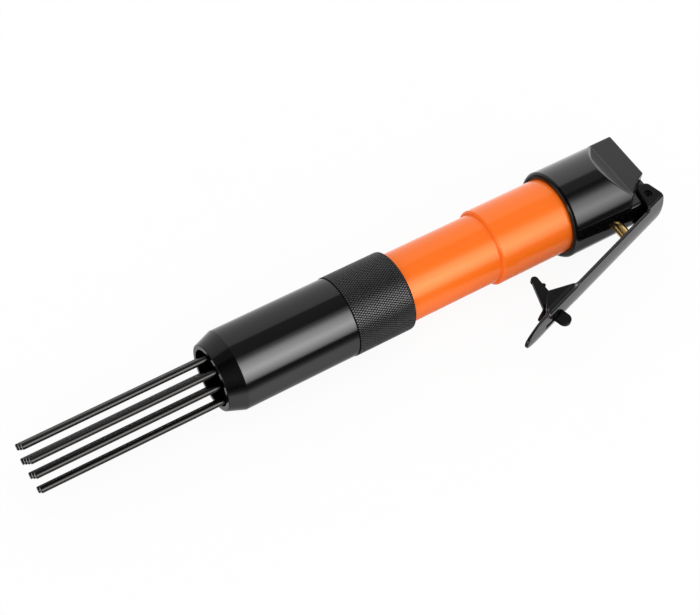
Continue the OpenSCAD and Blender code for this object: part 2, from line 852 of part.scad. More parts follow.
module lever_pin() {
    color([0.1, 0.1, 0.1])
        translate([pivot_x, pivot_y, 0])
            difference() {
                cylinder(d = lever_pin_d, h = 2 * lever_pin_half, center = true);
                cylinder(d = lever_pin_bore, h = far, center = true);
            }
}

// Side of the latch about its own pivot
module latch_side() {
    tip = [-arm_offset, arm_tip_r - arm_reach];
    heel_v = latch_rise - touch_gap;
    circle(r = hub_r);
    translate(tip)
        circle(r = arm_tip_r);
    polygon([
        [tip[0] - arm_tip_r, tip[1]], [tip[0] + arm_tip_r, tip[1]], [arm_foot, -hub_r / 2],
        [arm_foot, 0], [-hub_r, 0]
    ]);
    translate([nub_place * (tip[0] - arm_tip_r) - (1 - nub_place) * hub_r, nub_place * tip[1]])
        circle(r = nub_r);
    polygon([
        [0, -hub_r / 2], [arm_foot, -hub_r / 2], [heel_length, heel_v - heel_t],
        [heel_length, heel_v], [0, heel_v]
    ]);
    translate([tab_back, 0])
        square([tab_width, tab_reach - tab_width / 2]);
    translate([tab_offset, tab_reach - tab_width / 2])
        circle(d = tab_width);
}

module latch() {
    color([0.09, 0.09, 0.09])
        on_lever()
            translate([latch_reach, hub_v, 0])
                difference() {
                    union() {
                        linear_extrude(latch_t, center = true)
                            latch_side();
                        cylinder(r = hub_r, h = wing_in_half - touch_gap);
                    }
                    cylinder(r = latch_hole_r, h = far, center = true);
                }
}

module latch_pin() {
    color([0.1, 0.1, 0.1])
        on_lever()
            translate([latch_reach, hub_v, 0])
                cylinder(d = latch_pin_d, h = wing_width - 2 * latch_pin_sink, center = true);
}

module latch_spring() {
    color([0.6, 0.6, 0.6])
        on_lever()
            translate([latch_reach, hub_v, -latch_t / 2 - touch_gap - latch_wire_d / 2 - latch_coil_length])
                rotate([0, 0, 90])
                    coil(latch_coil_r, latch_wire_d, latch_coil_length, latch_turns, latch_leg, 12);
}

sleeve();
barrel();
head();
needle_01();
needle_02();
needle_03();
needle_04();
needle_05();
needle_06();
needle_07();
needle_08();
needle_09();
needle_10();
needle_11();
needle_12();
needle_holder();
return_spring();
anvil();
buffer_ring();
piston();
valve_cap();
valve_disc();
valve_body();
head_seal();
inlet_screen();
throttle_plunger();
valve_ball();
valve_spring();
valve_plug();
lever();
lever_pin();
latch();
latch_pin();
latch_spring();
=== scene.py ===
"""Dresses the needle scaler for rendering: smooth pieces over the CAD frame, materials and a studio."""

import math

import bmesh
import bpy
import numpy as np
from bpy.props import FloatProperty, FloatVectorProperty, IntProperty, PointerProperty
from bpy.types import Operator, Panel, PropertyGroup
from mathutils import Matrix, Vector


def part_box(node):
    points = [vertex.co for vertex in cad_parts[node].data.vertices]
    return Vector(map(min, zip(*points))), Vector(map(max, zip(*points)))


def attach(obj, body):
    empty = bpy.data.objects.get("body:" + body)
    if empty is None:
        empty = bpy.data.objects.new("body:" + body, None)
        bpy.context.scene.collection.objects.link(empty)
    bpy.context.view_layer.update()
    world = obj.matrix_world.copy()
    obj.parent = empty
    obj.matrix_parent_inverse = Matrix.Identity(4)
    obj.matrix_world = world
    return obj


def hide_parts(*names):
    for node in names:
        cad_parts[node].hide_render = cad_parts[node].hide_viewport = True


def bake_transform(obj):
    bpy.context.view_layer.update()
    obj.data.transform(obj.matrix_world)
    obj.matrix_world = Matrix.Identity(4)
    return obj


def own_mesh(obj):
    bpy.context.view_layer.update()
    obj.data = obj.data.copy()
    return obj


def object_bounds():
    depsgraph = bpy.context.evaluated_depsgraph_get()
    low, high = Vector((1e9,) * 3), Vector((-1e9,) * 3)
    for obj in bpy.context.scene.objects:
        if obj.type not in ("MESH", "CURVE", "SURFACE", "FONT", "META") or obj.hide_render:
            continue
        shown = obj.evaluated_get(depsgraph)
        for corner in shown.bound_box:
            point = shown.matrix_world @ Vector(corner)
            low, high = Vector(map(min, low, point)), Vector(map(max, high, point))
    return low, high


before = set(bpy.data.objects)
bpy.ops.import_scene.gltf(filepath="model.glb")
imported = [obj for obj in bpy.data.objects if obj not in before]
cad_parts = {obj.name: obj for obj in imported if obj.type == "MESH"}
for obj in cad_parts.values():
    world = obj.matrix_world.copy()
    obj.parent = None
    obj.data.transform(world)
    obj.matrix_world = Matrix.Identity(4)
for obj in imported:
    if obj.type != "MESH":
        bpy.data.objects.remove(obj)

bl_info = {
    "name": "Needle scaler",
    "version": (1, 0, 0),
    "blender": (4, 5, 0),
    "location": "View3D > Sidebar > Scaler",
    "description": "Builds the visible pieces and materials of an air needle scaler",
    "category": "Object",
}

MM = 0.001
CAD_BOX = [list(corner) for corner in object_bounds()]
NEEDLES = [f"needle_{i:02d}" for i in range(1, 13)]


def linear(code):
    """An sRGB hex colour as linear red, green and blue."""
    value = np.array([int(code[i:i + 2], 16) for i in (1, 3, 5)]) / 255
    return tuple(np.where(value <= 0.04045, value / 12.92, ((value + 0.055) / 1.055) ** 2.4))


def size(name, default, words, low=0.0):
    """A size in millimetres that a user can change."""
    return FloatProperty(name=name, description=f"{words}, in mm", default=default, min=low, precision=3)


def angle(name, degrees, words):
    """An angle that a user can change, given in degrees."""
    return FloatProperty(name=name, description=words, default=math.radians(degrees), subtype="ANGLE")


def colour(name, code, words):
    """A colour that a user can change."""
    return FloatVectorProperty(
        name=name, description=words, default=linear(code), size=3, min=0, max=1, subtype="COLOR"
    )


class ScalerSleeve(PropertyGroup):
    nose_rim: size("Nose rim", 2.4, "Width of the flat rim at the mouth", 0.5)
    nose_length: size("Nose length", 8.3, "Length of the coned nose", 1)
    mouth_step: size("Mouth step", 3.49, "Step from the bore in to the mouth", 0.5)
    wall: size("Wall", 2.0, "Wall of the sleeve", 0.5)
    rear_ease: size("Rear ease", 0.9, "Rounding of the rear edge", 0.1)
    band_seat: size("Band seat", 0.2, "Depth of the tube under the knurled band", 0.05)
    knurl_length: size("Knurl length", 30.3, "Length of the knurled band", 1)
    knurl_rise: size("Knurl rise", 0.3, "Height of the knurled band above the tube", 0.05)
    knurl_depth: size("Knurl depth", 0.18, "Depth of the knurl's grooves", 0.02)
    knurl_flat: FloatProperty(
        name="Knurl flat", description="Share of a diamond that is flat", default=0.6, min=0.05
    )
    knurl_lean: angle("Knurl lean", 30.0, "Angle of the knurl's grooves to the tool's axis")
    knurl_count: IntProperty(
        name="Knurl count", description="Diamonds round the knurled band", default=102, min=12, max=200
    )


class ScalerHead(PropertyGroup):
    flats_length: size("Flats length", 12.3, "Length of the spanner flats", 1)
    flats_half: size("Flats half", 13.0, "Distance of a spanner flat from the axis", 5)
    slope_length: size("Slope length", 11.2, "Length of the slope in front of the flats", 1)
    rim: size("Rim", 1.5, "Size of the bevelled front rim", 0.1)
    crease: size("Crease", 0.5, "Rounding of the head's edges", 0.05)
    lug_half: size("Lug half", 8.1, "Half the width of the lug between the ears", 2)
    pocket_r: size("Pocket radius", 40.0, "Radius of the ear pockets", 10)
    pocket_x: size("Pocket place X", 16.167, "Centre of the ear pockets along the axis", -100)
    pocket_y: size("Pocket place Y", -44.848, "Centre of the ear pockets across the axis", -100)
    inlet_r: size("Inlet radius", 5.72, "Radius of the air inlet", 1)
    plug_x: size("Plug place", -21.8, "Place of the valve plug along the axis", -100)
    plug_r: size("Plug radius", 5.38, "Radius of the hole over the valve plug", 1)
    plug_sink: size("Plug sink", 0.85, "Depth of the hole over the valve plug", 0.1)


class ScalerLever(PropertyGroup):
    lean: angle("Lean", 17.3, "Angle of the released lever to the tool's axis")
    pivot_back: size("Pivot back", 3.7, "Distance of the pivot from the rear face")
    pivot_depth: size("Pivot depth", 3.8, "Depth of the pivot below the head's skin")
    sheet: size("Sheet", 1.8, "Thickness of the pressed sheet", 0.5)
    edge: size("Edge", 0.6, "Rounding of the sheet's edges", 0.05)
    web: size("Web", 7.3, "Distance of the web's outer face from the pivot", 1)
    crown: size("Crown", 30.0, "Radius of the web across the lever", 12)
    bend: size("Bend", 2.6, "Outer radius of the bends", 1)
    ear_half: size("Ear half", 10.2, "Half the width over the ears", 4)
    ear_back: size("Ear back", 5.3, "Distance of the ears' rear edge from the pivot", 2)
    ear_top: size("Ear top", 6.3, "Distance of the ears' top from the pivot", 3)
    ear_front: size("Ear front", 3.8, "Distance of the ears' front edge from the pivot", 2)
    ear_lean: angle("Ear lean", 26.0, "Lean of the ears' front edge")
    ear_corner: size("Ear corner", 3.0, "Corner radius of the ears", 0.5)
    ear_hole: size("Ear hole", 2.08, "Radius of the roll pin's hole", 0.5)
    wing_half: size("Wing half", 7.4, "Half the width over the wings", 3)
    wing_start: size("Wing start", 63.8, "Start of the wings along the lever", 20)
    wing_peak: size("Wing peak", 76.5, "Peak of the wings and latch pivot along the lever", 20)
    wing_end: size("Wing end", 86.8, "End of the wings along the lever", 20)
    wing_top: size("Wing top", 2.4, "Height of the wings' peak above the lever's pivot line")
    wing_hole: size("Wing hole", 1.23, "Radius of the latch pin's hole", 0.2)
    latch_drop: size("Latch drop", 1.8, "Distance of the latch pivot below the lever's pivot line")
    tongue_side: size("Tongue side", 27.0, "Radius of the tongue's sides", 8)
    tongue_tip: size("Tongue tip", 4.0, "Radius of the tongue's tip", 1)
    slot_start: size("Slot start", 75.75, "Start of the latch's slot along the lever", 20)
    slot_end: size("Slot end", 88.67, "End of the latch's slot along the lever", 20)
    slot_half: size("Slot half", 1.5, "Half the width of the latch's slot", 0.5)


class ScalerColours(PropertyGroup):
    black: colour("Black enamel", "#09090A", "Gloss black on the sleeve and the head")
    knurl: colour("Knurl", "#2C2C2D", "Blackened knurl")
    orange: colour("Orange enamel", "#FF721C", "Gloss orange on the barrel")
    lever: colour("Lever coat", "#101011", "Powder coat on the lever")
    latch: colour("Latch coat", "#0A0A0A", "Satin black on the latch")
    needle: colour("Needle steel", "#363534", "Drawn steel of the needles")
    brass: colour("Brass", "#FFCB85", "Turned brass of the plunger")
    pin: colour("Pin steel", "#0B0B0B", "Blackened steel of the pins")
    steel: colour("Bright steel", "#C9CACC", "Polished ball and strainer")
    ground: colour("Ground steel", "#8C8D90", "Ground inner pieces")
    rubber: colour("Rubber", "#17171A", "Seal")
    urethane: colour("Urethane", "#B98A2E", "Buffer ring")


class ScalerStage(PropertyGroup):
    light: FloatProperty(name="Light", description="Level of the even light", default=1.0, min=0)
    softbox: FloatProperty(name="Softbox", description="Level of the reflections", default=8.0, min=0)
    focal: FloatProperty(
        name="Lens", description="Focal length in mm", default=83.35, min=1, subtype="DISTANCE_CAMERA"
    )


class ScalerSettings(PropertyGroup):
    sleeve: PointerProperty(type=ScalerSleeve, name="Sleeve", description="Sizes of the sleeve")
    head: PointerProperty(type=ScalerHead, name="Head", description="Sizes of the head")
    lever: PointerProperty(type=ScalerLever, name="Lever", description="Sizes of the lever")
    colours: PointerProperty(type=ScalerColours, name="Colours", description="Colours of the finishes")
    stage: PointerProperty(type=ScalerStage, name="Stage", description="Light and camera")


def box_mm(node):
    """Lowest and highest corner of a CAD node, in millimetres."""
    low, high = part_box(node)
    return np.array(low) / MM, np.array(high) / MM


def profile(corners, steps=6):
    """An outline of radius and station with an arc at each corner: each arc turns from the direction
    of one side to that of the next about a centre one radius from both. The ends stay as given."""
    data = np.array(corners, float)
    point, radius = data[:, :2], data[1:-1, 2:3]
    back = point[:-2] - point[1:-1]
    on = point[2:] - point[1:-1]
    back /= np.linalg.norm(back, axis=1, keepdims=True)
    on /= np.linalg.norm(on, axis=1, keepdims=True)
    half = np.arccos(np.clip((back * on).sum(1, keepdims=True), -1, 1)) / 2
    middle = (back + on) / np.linalg.norm(back + on, axis=1, keepdims=True)
    centre = point[1:-1] + middle * radius / np.sin(half)
    start = point[1:-1] + back * radius / np.tan(half) - centre
    end = point[1:-1] + on * radius / np.tan(half) - centre
    sweep = (math.pi - 2 * half)[:, None]
    share = np.linspace(0, 1, steps)[None, :, None]
    arc = np.sin((1 - share) * sweep) * start[:, None] + np.sin(share * sweep) * end[:, None]
    arc /= np.sin(sweep)
    return np.vstack([point[:1], (arc + centre[:, None]).reshape(-1, 2), point[-1:]])


def chord(radius, offset):
    """Half the width of a circle at an offset from its centre, and none beyond the circle."""
    return np.sqrt(np.clip(radius ** 2 - offset ** 2, 0, None))


def quads(rows, columns):
    """Faces of a grid whose columns close on themselves, by the numbers of their corners."""
    i, j = np.meshgrid(np.arange(rows - 1), np.arange(columns), indexing="ij")
    here, beside = i * columns + j, i * columns + (j + 1) % columns
    return np.stack([here, beside, beside + columns, here + columns], -1).reshape(-1, 4)


def lower(a, b, crease):
    """The lower of two surfaces with a rounded crease: a parabola joins them over the crease's width."""
    share = np.clip(0.5 + 0.5 * (b - a) / crease, 0, 1)
    return b + (a - b) * share - crease * share * (1 - share)


def upper(a, b, crease):
    """The upper of two surfaces with a rounded crease."""
    return -lower(-a, -b, crease)


def linked(name, data):
    """A new object in the scene."""
    made = bpy.data.objects.new(name, data)
    bpy.context.scene.collection.objects.link(made)
    return made


def placed(name, mesh, look, body, slot, *nodes):
    """Puts a finished mesh on its body, if it has one, with its material and the CAD nodes it stands for."""
    mesh.materials.clear()
    mesh.materials.append(look)
    piece = linked(name, mesh)
    if body:
        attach(piece, body)
    if nodes:
        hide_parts(*nodes)
    return piece


def meshed(name, points, faces, smooth=True):
    """A mesh from points in millimetres, with its poles merged and its faces turned outwards."""
    mesh = bpy.data.meshes.new(name)
    mesh.from_pydata(points.reshape(-1, 3) * MM, [], faces if isinstance(faces, list) else faces.tolist())
    work = bmesh.new()
    work.from_mesh(mesh)
    bmesh.ops.remove_doubles(work, verts=work.verts, dist=1e-7)
    bmesh.ops.recalc_face_normals(work, faces=work.faces)
    work.to_mesh(mesh)
    work.free()
    mesh.polygons.foreach_set("use_smooth", np.full(len(mesh.polygons), smooth))
    return mesh


def revolved(name, corners, count, middle=(0, 0, 0)):
    """A mesh turned from corners of radius, station and rounding, about an axis through the middle: station,
    radius times cosine, radius times sine."""
    radius, station = np.split(profile(corners), 2, axis=1)
    turn = np.linspace(0, 2 * math.pi, count, endpoint=False)
    points = np.stack([station + 0 * turn, radius * np.cos(turn), radius * np.sin(turn)], axis=2)
    return meshed(name, points + np.array(middle), quads(len(station), count))


def weighted(piece):
    """Flat faces keep their own normals next to rounded edges."""
    piece.modifiers.new("Face weighted normals", "WEIGHTED_NORMAL").keep_sharp = True


def eased(name, node):
    """A copy of a CAD node's mesh, merged and with flat faces joined, ready for rounded edges."""
    work = bmesh.new()
    work.from_mesh(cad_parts[node].data)
    bmesh.ops.remove_doubles(work, verts=work.verts, dist=2e-6)
    bmesh.ops.dissolve_limit(work, angle_limit=math.radians(0.5), verts=work.verts, edges=work.edges)
    mesh = bpy.data.meshes.new(name)
    work.to_mesh(mesh)
    work.free()
    if "custom_normal" in mesh.attributes:
        mesh.attributes.remove(mesh.attributes["custom_normal"])
    mesh.polygons.foreach_set("use_smooth", np.ones(len(mesh.polygons), bool))
    return mesh


def rounded(piece, width):
    """Rounds a piece's sharp edges to the given width in millimetres."""
    bevel = piece.modifiers.new("Rounded edges", "BEVEL")
    bevel.width = width * MM
    bevel.segments = 3
    bevel.limit_method = "ANGLE"
    bevel.angle_limit = math.radians(28)
    bevel.use_clamp_overlap = False
    bevel.harden_normals = True


def add(tree, kind, inputs=None, **settings):
    """Adds a node: settings go on the node, and each input is set, or linked where it is a socket."""
    made = tree.nodes.new(kind)
    for key, value in settings.items():
        setattr(made, key, value)
    for key, value in (inputs or {}).items():
        if isinstance(value, bpy.types.NodeSocket):
            tree.links.new(value, made.inputs[key])
        else:
            made.inputs[key].default_value = value
    return made


def material(name):
    """An empty material, its node tree and its Object coordinates."""
    made = bpy.data.materials.new(name)
    made.use_nodes = True
    made.node_tree.nodes.clear()
    tree = made.node_tree
    return made, tree, add(tree, "ShaderNodeTexCoord").outputs["Object"]


def noise(tree, place, width, detail):
    """Cloudy noise whose blotches have the given width in millimetres."""
    inputs = {"Vector": place, "Scale": 1 / (width * MM), "Detail": detail}
    return add(tree, "ShaderNodeTexNoise", inputs).outputs["Fac"]


def mixed(tree, share, first, second):
    """A share of the way from one colour to another."""
    inputs = {"Factor": share, "A": (*first, 1), "B": (*second, 1)}
    return add(tree, "ShaderNodeMix", inputs, data_type="RGBA").outputs["Result"]


def spanned(tree, value, first, last, low=0.0, high=1.0):
    """A value that goes from first to last while its source goes from low to high."""
    inputs = {"Value": value, "From Min": low, "From Max": high, "To Min": first, "To Max": last}
    return add(tree, "ShaderNodeMapRange", inputs).outputs["Result"]


def relief(tree, height, strength, depth):
    """A normal for a fine relief whose depth is in millimetres."""
    inputs = {"Height": height, "Strength": strength, "Distance": depth * MM}
    return add(tree, "ShaderNodeBump", inputs).outputs["Normal"]


def vector(tree, first, second, operation, result):
    """The result of an operation on two vectors, or on the first alone."""
    return add(tree, "ShaderNodeVectorMath", {0: first, 1: second}, operation=operation).outputs[result]


def shaded(tint, share):
    """A colour made darker or lighter by a share, up to full."""
    return np.minimum(share * np.array(tint), 1)


def finish(made, **inputs):
    """Joins a Principled shader with the given inputs to a material's output."""
    named = {key.replace("_", " "): value for key, value in inputs.items()}
    shader = add(made.node_tree, "ShaderNodeBsdfPrincipled", named)
    add(made.node_tree, "ShaderNodeOutputMaterial", {"Surface": shader.outputs["BSDF"]})
    return made


def enamel(name, tint, shade, gloss, sheen=(1, 1, 1)):
    """Stoved enamel on turned metal: a smooth hard gloss with a faint orange peel about 2 mm across
    and a slow change of tone and gloss over some 25 mm, as sprayed coats have."""
    made, tree, place = material(name)
    cloud = noise(tree, place, 25, 2.0)
    return finish(
        made, Base_Color=mixed(tree, cloud, shaded(tint, shade), tint),
        Roughness=spanned(tree, cloud, 0.85 * gloss, 1.15 * gloss),
        Normal=relief(tree, noise(tree, place, 2, 1.0), 0.02, 0.02), Specular_Tint=(*sheen, 1),
    )


def coat(name, tint, gloss, grain, shine, handled=None):
    """Powder coat or blackening: a dull film whose fine grain breaks up the shine. Where hands polish it,
    between two places in millimetres along a direction, it goes over to a full shine."""
    made, tree, place = material(name)
    fine = noise(tree, place, grain, 2.0)
    if handled:
        way, low, high = handled
        reach = vector(tree, place, way, "DOT_PRODUCT", "Value")
        shine = spanned(tree, reach, shine, 0.5, low * MM, high * MM)
    return finish(
        made, Base_Color=mixed(tree, noise(tree, place, 12, 3.0), shaded(tint, 0.7), shaded(tint, 1.3)),
        Roughness=spanned(tree, fine, 0.8 * gloss, 1.2 * gloss), Normal=relief(tree, fine, 0.06, 0.05),
        Specular_IOR_Level=shine,
    )


def knurl_with_groove_shade(name, tint, crest, depth):
    """Blackened knurl with painted shade in its grooves: by the distance from the tool's axis, the grooves
    get a tenth of the colour, a matt roughness and almost no specular, as painted shade, while the flat tops
    of the diamonds keep the full colour and a soft shine."""
    made, tree, place = material(name)
    across = vector(tree, place, (0, 1, 1), "MULTIPLY", "Vector")
    reach = vector(tree, across, (0, 0, 0), "LENGTH", "Value")
    # Painted shade: the grooves, found by their distance from the axis, are darkened and lose their shine.
    groove_shade_mask = spanned(tree, reach, 0.0, 1.0, (crest - 0.6 * depth) * MM, (crest - 0.1 * depth) * MM)
    return finish(
        made, Base_Color=mixed(tree, groove_shade_mask, shaded(tint, 0.1), tint), Roughness=spanned(tree, groove_shade_mask, 0.5, 0.35),
        Specular_IOR_Level=spanned(tree, groove_shade_mask, 0.02, 0.6),
    )


def drawn(name, tint, gloss, stretch):
    """Bare metal with the marks of its making: streaks some 0.3 mm wide, drawn out along the stretched
    axis, in tone, gloss and relief."""
    made, tree, place = material(name)
    lines = add(tree, "ShaderNodeMapping", {"Vector": place, "Scale": stretch})
    streak = noise(tree, lines.outputs["Vector"], 0.3, 3.0)
    return finish(
        made, Base_Color=mixed(tree, streak, shaded(tint, 0.72), shaded(tint, 1.2)), Metallic=1.0,
        Roughness=spanned(tree, streak, 0.7 * gloss, 1.3 * gloss), Normal=relief(tree, streak, 0.08, 0.02),
    )


def moulded(name, tint, gloss, scatter):
    """Moulded rubber or urethane: an even body with a faint bloom some 3 mm across."""
    made, tree, place = material(name)
    bloom = noise(tree, place, 3, 4.0)
    return finish(
        made, Base_Color=mixed(tree, bloom, shaded(tint, 0.8), shaded(tint, 1.2)), Roughness=gloss,
        Subsurface_Weight=scatter, Subsurface_Scale=0.5 * MM, Normal=relief(tree, bloom, 0.1, 0.05),
    )


class SCALER_OT_sleeve(Operator):
    """Builds the guard sleeve with its coned nose, and its knurled band"""

    bl_idname = "scaler.sleeve"
    bl_label = "Sleeve"

    def execute(self, context):
        s, c = context.scene.scaler.sleeve, context.scene.scaler.colours
        low, high = box_mm("sleeve")
        front, rear, top = low[0], high[0], high[2]
        tube_r = top - s.knurl_rise
        bore, under = tube_r - s.wall, tube_r - s.band_seat
        mouth, nose, knurl = bore - s.mouth_step, front + s.nose_length, rear - s.knurl_length
        seam, third = mouth + 0.5, s.rear_ease / 3
        black = enamel("black_enamel_on_steel", c.black, 0.7, 0.11)
        mesh = revolved("guard_sleeve", [
            (seam, nose, 0), (mouth, nose, 0.05), (mouth, front, 0.35), (mouth + s.nose_rim, front, 0.45),
            (tube_r, nose, 0.5), (tube_r, knurl, 0.1), (under, knurl + 0.1, 0.02),
            (under, rear - s.rear_ease, 0.05), (under - third, rear - third, 0.1),
            (tube_r - s.rear_ease, rear, 0.2), (bore, rear, 0.1), (bore, nose, 0.05), (seam, nose, 0),
        ], 200)
        weighted(placed("guard_sleeve", mesh, black, "body", "sleeve_black", "sleeve"))
        self.band(s, c, knurl, rear, top)
        return {"FINISHED"}

    def band(self, s, c, start, end, top):
        """Diamond knurl, drawn out along the axis by the lean of its grooves: on a grid of half a pitch,
        points whose row and column add up to an odd number are the middles of diamonds, and the others are
        crossings of the grooves. Each diamond has a flat top whose corners lie part of the way from its
        middle to the four crossings round it."""
        columns = 2 * s.knurl_count
        rows = int(round((end - start) * s.knurl_count * math.tan(s.knurl_lean) / (math.pi * top)))
        turn_step, step = 2 * math.pi / columns, (end - start) / rows

        def skin(row, column, depth):
            station = start + step * row
            edge = np.clip((end - station) / s.rear_ease, 0, 1)
            radius = top - s.rear_ease * (1 - chord(1, 1 - edge)) - depth
            turn = turn_step * column
            return np.stack([station, radius * np.cos(turn), radius * np.sin(turn)], axis=-1)

        i, j = np.meshgrid(np.arange(rows + 1), np.arange(columns), indexing="ij")
        low = skin(i, j, s.knurl_depth)
        odd = (i + j) % 2 == 1
        mid_i, mid_j = i[1:-1][odd[1:-1]], j[1:-1][odd[1:-1]]
        down, across = np.array([-1, 0, 1, 0]), np.array([0, 1, 0, -1])
        tops = skin(mid_i[:, None] + s.knurl_flat * down, mid_j[:, None] + s.knurl_flat * across, 0)
        feet = (mid_i[:, None] + down) * columns + (mid_j[:, None] + across) % columns
        flat = low[..., 0].size + np.arange(tops[..., 0].size).reshape(-1, 4)
        after = [1, 2, 3, 0]
        flanks = np.stack([feet, feet[:, after], flat[:, after], flat], axis=2).reshape(-1, 4)
        ends = [self.fringe(low, row, inner, columns) for row, inner in ((0, 1), (rows, rows - 1))]
        inwards = np.array([1, 0.985, 0.985])
        skirt = low[[0, -1]] * inwards
        ring = low[..., 0].size + tops[..., 0].size + np.arange(2 * columns).reshape(2, columns)
        walls = []
        for row, foot in zip((0, rows), ring):
            k = np.arange(0, columns, 2) + row % 2
            on = (k + 2) % columns
            walls.append(np.stack([row * columns + k, row * columns + on, foot[on], foot[k]], 1))
        points = np.concatenate([part.reshape(-1, 3) for part in (low, tops, skirt)])
        faces = [face for part in (flanks, flat, *ends, *walls) for face in part.tolist()]
        mesh = meshed("sleeve_knurl", points, faces, smooth=False)
        # The knurl's material paints shade into its grooves.
        look = knurl_with_groove_shade("blackened_knurl_steel", c.knurl, top, s.knurl_depth)
        placed("sleeve_knurl", mesh, look, "body", "sleeve_black")

    def fringe(self, low, row, inner, columns):
        """Triangles that fill the half diamonds along an end row of the knurl, as deep as its grooves."""
        k = np.arange(columns)[(np.arange(columns) + row) % 2 == 1]
        left, right = row * columns + k - 1, row * columns + (k + 1) % columns
        return np.stack([left, right, inner * columns + k], 1) % low[..., 0].size


class SCALER_OT_barrel(Operator):
    """Builds the enamelled hammer barrel in its two diameters"""

    bl_idname = "scaler.barrel"
    bl_label = "Barrel"

    def execute(self, context):
        c = context.scene.scaler.colours
        rise, wall, chamfer, thick_length = 1.7, 1.7, 0.8, 39.2
        spigot_length, spigot_drop, groove_drop, groove_front, groove_rear = 15.7, 1.65, 3.28, 14.8, 12.6
        valve_r, valve_depth, piston_r, piston_depth = 13, 16, 9, 87.2
        low, high = box_mm("barrel")
        front, rear, top = low[0], high[0], high[1]
        thin, spigot, groove = top - rise, top - spigot_drop, top - groove_drop
        bore = thin - wall
        step, shoulder = box_mm("head")[0][0] - thick_length, rear - spigot_length
        fore, aft = rear - groove_front, rear - groove_rear
        floor, end = rear - valve_depth, rear - piston_depth
        orange = enamel("orange_enamel_on_steel", c.orange, 0.97, 0.2, linear("#FFFAC6"))
        mesh = revolved("hammer_barrel", [
            (bore, front, 0), (thin, front, 0.2), (thin, step, 0.25), (top - chamfer, step, 0.3),
            (top, step + chamfer, 0.4), (top, shoulder, 0.2), (spigot, shoulder, 0.1), (spigot, fore, 0.1),
            (groove, fore, 0.1), (groove, aft, 0.1), (spigot, aft, 0.1), (spigot, rear, 0.2),
            (valve_r, rear, 0.2), (valve_r, floor, 0.1), (piston_r, floor, 0.1), (piston_r, end, 0.2),
            (bore, end, 0.2), (bore, front, 0),
        ], 200)
        weighted(placed("hammer_barrel", mesh, orange, "body", "barrel_orange", "barrel"))
        return {"FINISHED"}


class SCALER_OT_head(Operator):
    """Builds the valve head with its flats, slopes, lug and air inlet"""

    bl_idname = "scaler.head"
    bl_label = "Head"

    def execute(self, context):
        s, c = context.scene.scaler.head, context.scene.scaler.colours
        low, high = box_mm("head")
        front, top, inlet = low[0], high[1], s.inlet_r
        ease, edge, flank = 0.5, 0.15, 0.3
        seat_drop, seat_length, spigot_drop, spigot_depth = 3.1, 2, 1.65, 17.7
        chamfer, ledge, depth, floor = 0.7, 1, -13, -14.5
        turn = self.turns()[None, :]
        rim = profile([
            (top - s.rim - flank, front, 0), (top - s.rim, front, 0.1),
            (top - 0.46 * s.rim, front + 0.28 * s.rim, 0.5), (top, front + s.rim, 0.15),
            (top, front + s.rim + flank, 0),
        ])
        slope = -s.flats_length - s.slope_length
        lead = slope - 9
        station = np.concatenate([
            np.linspace(rim[-1, 1] + 0.2, lead, 6, endpoint=False),
            np.linspace(lead, slope, 20, endpoint=False), np.linspace(slope, -ease, 100),
        ])[:, None]
        skin = self.skin(s, turn, station, top)
        last = skin[-1:]
        arc = np.linspace(0, math.pi / 2, 8)[1:, None]
        seat = top - seat_drop
        bore = seat - spigot_drop
        inner = np.array([
            (0, spigot_depth), (bore, spigot_depth), (bore, seat_length), (seat, seat_length), (seat, edge),
            (seat + edge, 0),
        ]) + np.array([0, front])
        # The rear face has a loop near its edge and one near the inlet, which keep its shading flat.
        entry = np.array([
            (inlet + chamfer + 0.2, 0), (inlet + chamfer, 0), (inlet, -chamfer), (inlet, depth),
            (inlet - ledge, depth), (inlet - ledge, floor), (0, floor),
        ])
        whole = np.ones_like(turn)
        radius, place = np.concatenate([
            inner[:, :, None] * whole, rim[:, :, None] * whole, np.stack([skin, station * whole], 1),
            np.stack([last - ease * (1 - np.cos(arc)), ease * (np.sin(arc) - 1) * whole], 1),
            np.stack([last - 1.5 * ease, 0 * last], 1), entry[:, :, None] * whole,
        ]).swapaxes(0, 1)
        points = np.stack([place, radius * np.cos(turn), radius * np.sin(turn)], axis=2)
        black = enamel("black_enamel_on_aluminium", c.black, 0.7, 0.13)
        mesh = meshed("valve_head", points, quads(len(points), turn.size))
        weighted(placed("valve_head", mesh, black, "body", "head_black", "head"))
        return {"FINISHED"}

    def turns(self):
        """Angles round the head, three times as close together over the ear pockets as elsewhere."""
        edges = np.radians([-95, 95, 145, 215, 265])
        counts, nudge = (200, 160, 72, 160), 5e-4
        parts = [np.linspace(a, b, n, endpoint=False) for a, b, n in zip(edges, edges[1:], counts)]
        return np.concatenate(parts) + nudge

    def skin(self, s, turn, station, top):
        """Distance of the head's skin from the axis: the lowest of the round body, the flats and slopes, the
        ear pockets and the hole over the valve plug, each solved for the distance along the turn."""
        far, least, steep = 1e3, 1e-3, 6
        y, z = np.cos(turn), np.maximum(np.abs(np.sin(turn)), 1e-4)
        rise = np.clip((-s.flats_length - station) / s.slope_length, 0, None) * (top - s.flats_half)
        flat = (s.flats_half + rise) / z
        reach = s.pocket_y + chord(s.pocket_r, station - s.pocket_x)
        wall = np.where(y < -least, reach / np.minimum(y, -least), far)
        pocket = upper(s.lug_half / z, np.minimum(wall, far), s.crease)
        body = lower(np.full_like(flat, top), flat, s.crease)
        floor = top - s.plug_sink
        beyond = np.clip(np.hypot(station - s.plug_x, floor * np.sin(turn)) - s.plug_r, 0, None)
        sunk = np.where(y > 0.5, floor / np.maximum(y, 0.5) + steep * beyond, far)
        return lower(lower(body, pocket, s.crease), sunk, 0.15)


